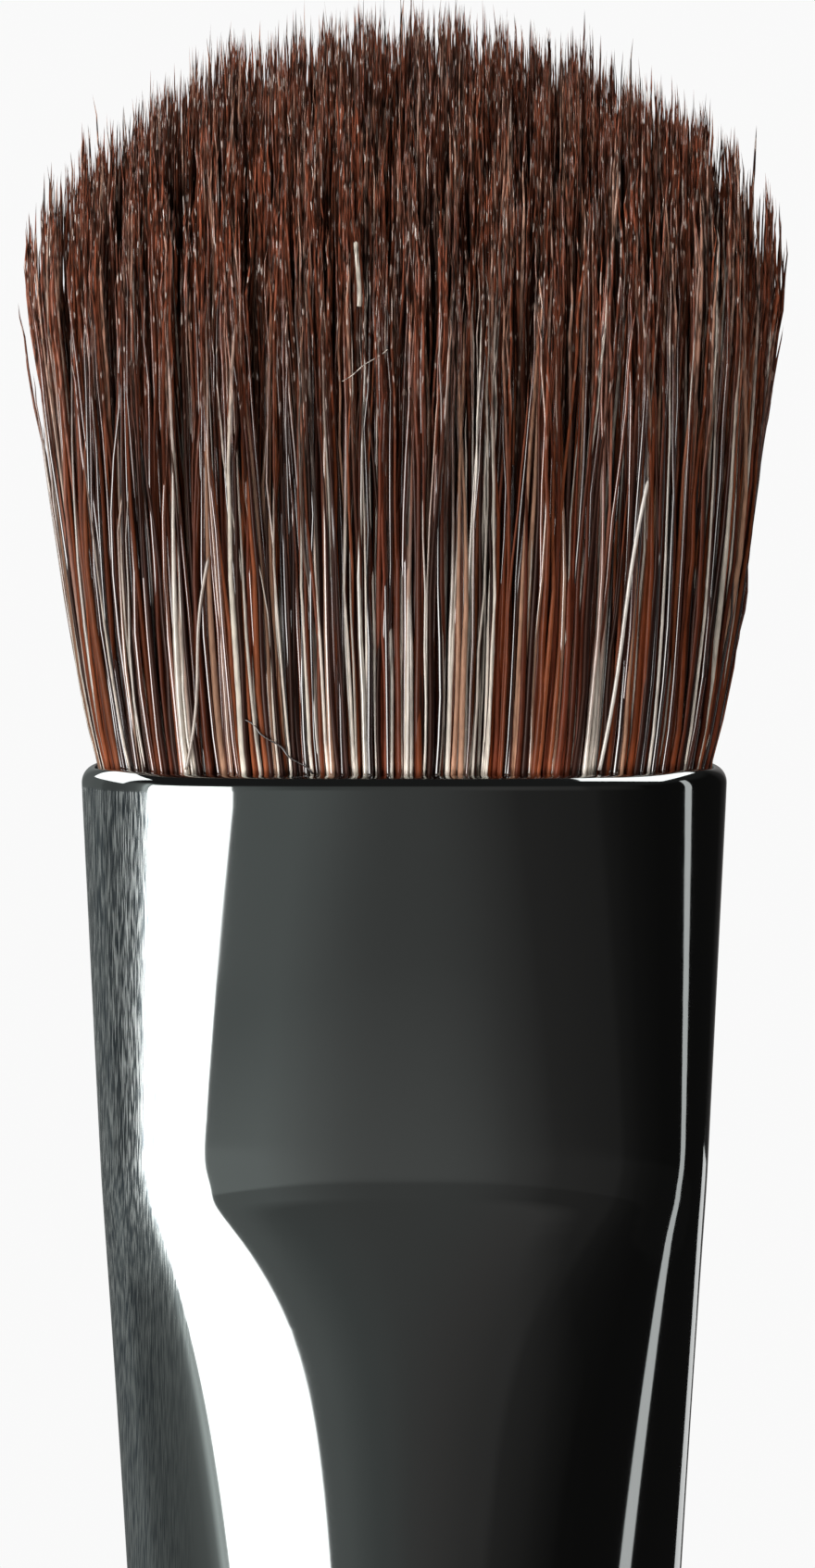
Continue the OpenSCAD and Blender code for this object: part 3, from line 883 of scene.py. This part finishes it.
# Single hairs that lie on the front: foot and top across the face and above the mouth, how wide, their waves
# across in size and count, and their colour
LOOSE_HAIRS = (
    ((-1.4 * MM, 0.05 * MM), (-2.46 * MM, 0.9 * MM), 0.022 * MM, 0.035 * MM, 2.5, (0.012, 0.007, 0.006)),
    ((-0.69 * MM, 7.25 * MM), (-0.73 * MM, 8.25 * MM), 0.034 * MM, 0.012 * MM, 0.8, (0.40, 0.36, 0.30)),
    ((-0.95 * MM, 6.1 * MM), (-0.25 * MM, 6.6 * MM), 0.012 * MM, 0.02 * MM, 1.5, (0.55, 0.48, 0.42)),
    ((-3.35 * MM, 0.1 * MM), (-3.0 * MM, 3.4 * MM), 0.026 * MM, 0.05 * MM, 1.0, (0.40, 0.33, 0.28)),
    ((3.0 * MM, 0.1 * MM), (3.75 * MM, 4.6 * MM), 0.03 * MM, 0.03 * MM, 1.0, (0.66, 0.60, 0.54)),
)
LOOSE_STEPS = 40
LOOSE_LIFT = 0.03 * MM
LOOSE_FLATNESS = 0.8
LOOSE_GLOSS = 0.5


def make_loose_hairs(material):
    share = np.linspace(0, 1, LOOSE_STEPS)
    one_hair = (1, LOOSE_STEPS)
    for index, (foot, top, wide, wave, turns, shade) in enumerate(LOOSE_HAIRS):
        x = mix(foot[0], top[0], share) + wave * np.sin(2 * math.pi * turns * share)
        z = MOUTH_Z + mix(foot[1], top[1], share)
        half_w, half_t, power = tuft_section(z)
        bulge = (1 - np.minimum(np.abs(x / half_w), DOME_SHARE) ** power) ** (1 / power)
        centre = np.stack([x, -half_t * bulge - LOOSE_LIFT, z], axis=1)[None]
        size = np.array([wide])
        thin, turn, taper = size * LOOSE_FLATNESS, np.zeros(one_hair), np.ones(LOOSE_STEPS)
        rings = hair_rings(centre, size, thin, turn, taper, OUTER_SIDES)
        tint, gloss = np.broadcast_to(shade, (*one_hair, 3)), np.full((*one_hair, 1), LOOSE_GLOSS)
        paint = np.concatenate([tint, gloss], axis=2)
        make_hair_piece(f"hair_loose_{index + 1}", rings, paint, material)


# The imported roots: their gap to the metal below the crease, and how many rings they have there
ROOT_ANGLES = even_angles(96)
LOW_ROOT_GAP = 0.4 * MM
LOW_ROOT_RINGS = 9


def make_roots(material):
    """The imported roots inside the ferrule, which the hairs rise from."""
    stretches = [(z, LOW_ROOT_GAP) for z in np.linspace(ROOT_END, CREASE_Z, LOW_ROOT_RINGS)]
    stretches += [(CREASE_Z, ROOT_GAP), (ROOT_TOP, ROOT_GAP)]
    rings = []
    for z, gap in stretches:
        x, y = section_xy(section(np.float64(z), WALL + gap), ROOT_ANGLES, 1)
        rings.append(level_ring(x, y, z))
    points, faces = loft(rings, closed=False)
    piece = add_piece("hair_roots", points, faces, material)
    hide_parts("hair_tuft")


# Camera, lights and floor

PHOTO_W, PHOTO_H = 880, 1693
PIXELS_PER_MM = 69.8
AXIS_PIXEL_X = 436.5
MOUTH_PIXEL_Y = 829
CAMERA_FAR = 0.35
CAMERA_TILT = math.radians(3.2)
SENSOR = 36.0
CLIP_NEAR, CLIP_FAR = 0.01, 50


def aim(obj, place, target):
    obj.location = place
    obj.rotation_euler = (Vector(target) - Vector(place)).to_track_quat("-Z", "Y").to_euler()


def make_camera():
    """A long lens that sees the photograph's frame at its scale, from a little above."""
    data = bpy.data.cameras.new("camera")
    camera = new_object("camera", data)
    bpy.context.scene.camera = camera
    seen_height = PHOTO_H / PIXELS_PER_MM * MM
    data.sensor_fit = "VERTICAL"
    data.sensor_height = SENSOR
    data.lens = SENSOR * CAMERA_FAR / seen_height
    data.clip_start = CLIP_NEAR
    data.clip_end = CLIP_FAR
    target = (
        (PHOTO_W / 2 - AXIS_PIXEL_X) / PIXELS_PER_MM * MM,
        0,
        MOUTH_Z - (PHOTO_H / 2 - MOUTH_PIXEL_Y) / PIXELS_PER_MM * MM,
    )
    place = (
        target[0],
        -CAMERA_FAR * math.cos(CAMERA_TILT),
        target[2] + CAMERA_FAR * math.sin(CAMERA_TILT),
    )
    aim(camera, place, target)


# Panels: azimuth and elevation in degrees, with azimuth 0 on the camera's side, then distance, width,
# height, radiance, whether the panel lights the object and whether it is mirrored in it
PANELS = (
    ("softbox_left", -43.3, -8, 0.3, 0.218, 0.35, 3.3, True, True),
    ("strip_right", 90, 0, 0.3, 0.042, 0.3, 0.85, True, True),
    ("card_right", 149, -40, 0.0394, 0.011, 0.04, 0.9, True, True),
    ("table_glow", 4, -28, 0.3, 0.12, 0.14, 7.0, True, False),
    ("top_left", -78, 54, 0.3, 0.18, 0.16, 3.6, True, False),
    ("top_right", 72, 54, 0.3, 0.16, 0.16, 4.2, True, False),
    ("lip_left", -118, 36, 0.3, 0.34, 0.2, 2.6, False, True),
    ("lip_right", 108, 60, 0.3, 0.34, 0.2, 2.6, False, True),
    ("overhead", -10, 84, 0.3, 0.24, 0.04, 0.5, True, False),
)


def make_panel(name, azimuth, elevation, far, width, height, radiance, lights, mirrored):
    """A soft panel that faces the mouth of the ferrule."""
    data = bpy.data.lights.new(name, "AREA")
    data.shape = "RECTANGLE"
    data.size = width
    data.size_y = height
    data.energy = radiance * math.pi * width * height
    panel = new_object(name, data)
    panel.visible_camera = False
    panel.visible_diffuse = lights
    panel.visible_glossy = mirrored
    turn, lift = math.radians(azimuth), math.radians(elevation)
    place = (
        far * math.sin(turn) * math.cos(lift),
        -far * math.cos(turn) * math.cos(lift),
        MOUTH_Z + far * math.sin(lift),
    )
    aim(panel, place, (0, 0, MOUTH_Z))


# Radiance of the studio by azimuth in degrees: from behind, past the left and the camera, to behind again
STUDIO_GLOW = (
    (-180, 0.22),
    (-166, 0.13),
    (-147, 0.16),
    (-120, 0.17),
    (-114, 0.12),
    (-98, 0.105),
    (-84, 0.12),
    (-74, 0.155),
    (-69, 0.26),
    (-66, 0.8),
    (-60, 0.2),
    (-50, 0.17),
    (-14, 0.163),
    (-8, 0.16),
    (-4, 0.132),
    (0, 0.087),
    (4, 0.062),
    (10, 0.036),
    (18, 0.031),
    (29, 0.027),
    (32, 0.019),
    (42, 0.012),
    (52, 0.0095),
    (61, 0.008),
    (148, 0.008),
    (166, 0.03),
    (180, 0.22),
)

# The same for the part above the horizon, between these azimuths
UPPER_GLOW = (
    (-30, 0.165),
    (-17, 0.145),
    (-12, 0.118),
    (-8, 0.1),
    (-3, 0.093),
    (1, 0.081),
    (5, 0.075),
    (9, 0.069),
    (14, 0.062),
    (19, 0.055),
    (25, 0.051),
    (28, 0.034),
    (38, 0.028),
    (43, 0.022),
    (50, 0.015),
    (53, 0.008),
    (61, 0.008),
)
COOL = np.array((0.93, 1.0, 0.98))
WARM = np.array((1.02, 0.97, 0.95))
COOL_UNTIL, WARM_FROM = -10, 10

# Limits within the studio: azimuths in degrees, and heights as the upward part of a direction
UPPER_RISE = (0, 0.16)
UPPER_LEFT_END = (-30, -24)
UPPER_RIGHT_END = (56, 61)
FLAG_ABOVE = (0.36, 0.5)
FLAG_BELOW = (-0.62, -0.8)
FLAG_GLOW = (0.02, 0.02, 0.02)
BACKDROP = (0.95, 0.95, 0.95)

# The table below the object: where its glow sets in, which shifts on the left, and how strong it is there
TABLE_EDGE = (-0.262, -0.295)
TABLE_SHIFT_TURN = (-20, -3)
TABLE_SHIFT = (-0.022, 0)
TABLE_GAIN_TURN = (-2, 4)
TABLE_GAIN = (0.6, 0.25)


def in_radians(pair):
    return tuple(math.radians(value) for value in pair)


def glow_ramp(graph, share, table):
    """The radiance of a table of azimuths, a little cool on the left and warm on the right."""
    ramp = graph.nodes.new("ShaderNodeValToRGB")
    graph.links.new(share, ramp.inputs["Fac"])
    stops = ramp.color_ramp.elements
    while len(stops) > 1:
        stops.remove(stops[-1])
    for index, (degrees, glow) in enumerate(table):
        place = (degrees + 180) / 360
        stop = stops[0] if index == 0 else stops.new(place)
        stop.position = place
        tint = mix(COOL, WARM, smooth(COOL_UNTIL, WARM_FROM, degrees))
        stop.color = (*(glow * tint), 1)
    return ramp.outputs["Color"]


def make_world():
    """White to the camera. To the object, a studio with a pale backdrop behind and dark flags right."""
    world = bpy.data.worlds.new("studio")
    bpy.context.scene.world = world
    world.use_nodes = True
    graph = Graph(world.node_tree)
    coords = graph.nodes.new("ShaderNodeTexCoord")
    across, deep, up = graph.axes(coords.outputs["Generated"])
    azimuth = graph.calc("ARCTAN2", across, graph.calc("MULTIPLY", deep, -1))
    turn = graph.ranged(azimuth, -math.pi, math.pi)
    lower = glow_ramp(graph, turn, STUDIO_GLOW)
    upper = glow_ramp(graph, turn, UPPER_GLOW)
    left_end = graph.ranged(azimuth, *in_radians(UPPER_LEFT_END))
    right_end = graph.ranged(azimuth, *in_radians(UPPER_RIGHT_END), 1, 0)
    span = graph.calc("MULTIPLY", left_end, right_end)
    raised = graph.calc("MULTIPLY", graph.ranged(up, *UPPER_RISE), span)
    studio = graph.mixed(raised, lower, upper)
    shift = graph.ranged(azimuth, *in_radians(TABLE_SHIFT_TURN), *TABLE_SHIFT)
    near = graph.ranged(graph.calc("ADD", up, shift), *TABLE_EDGE)
    gain = graph.ranged(azimuth, *in_radians(TABLE_GAIN_TURN), *TABLE_GAIN)
    table = graph.calc("ADD", graph.calc("MULTIPLY", near, gain), 1)
    lifted = graph.nodes.new("ShaderNodeVectorMath")
    lifted.operation = "SCALE"
    graph.links.new(studio, lifted.inputs["Vector"])
    graph.links.new(table, lifted.inputs["Scale"])
    flagged = graph.calc("MAXIMUM", graph.ranged(up, *FLAG_ABOVE), graph.ranged(up, *FLAG_BELOW))
    glow = graph.mixed(flagged, lifted.outputs["Vector"], FLAG_GLOW)
    path = graph.nodes.new("ShaderNodeLightPath")
    colour = graph.mixed(path.outputs["Is Camera Ray"], glow, BACKDROP)
    graph.links.new(colour, graph.nodes["Background"].inputs["Color"])


# The floor: its size, its paint to the lights and to the camera, and how its rim fades away
FLOOR_R = 0.2
FLOOR_SIDES = 96
FLOOR_RINGS = 12
FLOOR_TO_LIGHT = (0.12, 0.12, 0.12)
FLOOR_TO_CAMERA = (0.8, 0.8, 0.8)
FLOOR_GLOW = (0.955, 0.955, 0.955, 1)
FADE_ZONE = (0.02, 0.19)
FADE = (0.7, 1)


def make_floor():
    """A pale round floor under the handle's end, whose rim fades into the white studio."""
    points, faces = [(0, 0, HANDLE_TIP)], []
    for k in range(1, FLOOR_RINGS + 1):
        radius = FLOOR_R * k / FLOOR_RINGS
        for i in range(FLOOR_SIDES):
            turn = 2 * math.pi * i / FLOOR_SIDES
            points.append((radius * math.cos(turn), radius * math.sin(turn), HANDLE_TIP))
    for i in range(FLOOR_SIDES):
        j = (i + 1) % FLOOR_SIDES
        faces.append((0, 1 + i, 1 + j))
        for k in range(FLOOR_RINGS - 1):
            low, high = 1 + k * FLOOR_SIDES, 1 + (k + 1) * FLOOR_SIDES
            faces.append((low + i, high + i, high + j, low + j))
    mesh = bpy.data.meshes.new("floor")
    mesh.from_pydata(points, [], faces)
    floor = new_object("floor", mesh)

    material, graph, shader = new_material("pale_floor")
    path = graph.nodes.new("ShaderNodeLightPath")
    seen = path.outputs["Is Camera Ray"]
    graph.feed(shader.inputs["Base Color"], graph.mixed(seen, FLOOR_TO_LIGHT, FLOOR_TO_CAMERA))
    shader.inputs["Roughness"].default_value = 0.8
    span = graph.nodes.new("ShaderNodeVectorMath")
    span.operation = "LENGTH"
    graph.links.new(graph.place((1, 1, 0)), span.inputs["Vector"])
    rim = graph.ranged(span.outputs["Value"], *FADE_ZONE, *FADE)
    glow = graph.nodes.new("ShaderNodeEmission")
    glow.inputs["Color"].default_value = FLOOR_GLOW
    blend = graph.nodes.new("ShaderNodeMixShader")
    graph.links.new(graph.calc("MULTIPLY", rim, seen), blend.inputs["Fac"])
    graph.links.new(shader.outputs["BSDF"], blend.inputs[1])
    graph.links.new(glow.outputs["Emission"], blend.inputs[2])
    graph.links.new(blend.outputs["Shader"], graph.nodes["Material Output"].inputs["Surface"])
    mesh.materials.append(material)


# The hidden pieces: material, two tones, the scale of their grain and their roughness
ROOT_LOOK = ("packed_roots", (0.02, 0.012, 0.01), (0.06, 0.03, 0.022), 9000, 0.7)
CAD_LOOKS = {
    "root_binding": ("thread", (0.5, 0.46, 0.36), (0.68, 0.64, 0.54), 6000, 0.8),
    "epoxy_plug": ("resin", (0.42, 0.28, 0.1), (0.55, 0.38, 0.16), 700, 0.2),
    "tenon_glue": ("glue", (0.62, 0.57, 0.42), (0.75, 0.7, 0.56), 900, 0.5),
}


def dress_cad(node, material):
    """Gives a CAD node that stays its material."""
    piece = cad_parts[node]
    piece.data.materials.clear()
    piece.data.materials.append(material)


make_camera()
make_world()
make_floor()
for panel in PANELS:
    make_panel(*panel)

make_ferrule(metal_material())
make_handle(lacquer_material())
hair = hair_material()
make_hair(hair)
make_loose_hairs(hair)
make_roots(plain_material(*ROOT_LOOK))
for node, look in CAD_LOOKS.items():
    dress_cad(node, plain_material(*look))

bpy.context.scene.view_settings.view_transform = "Standard"
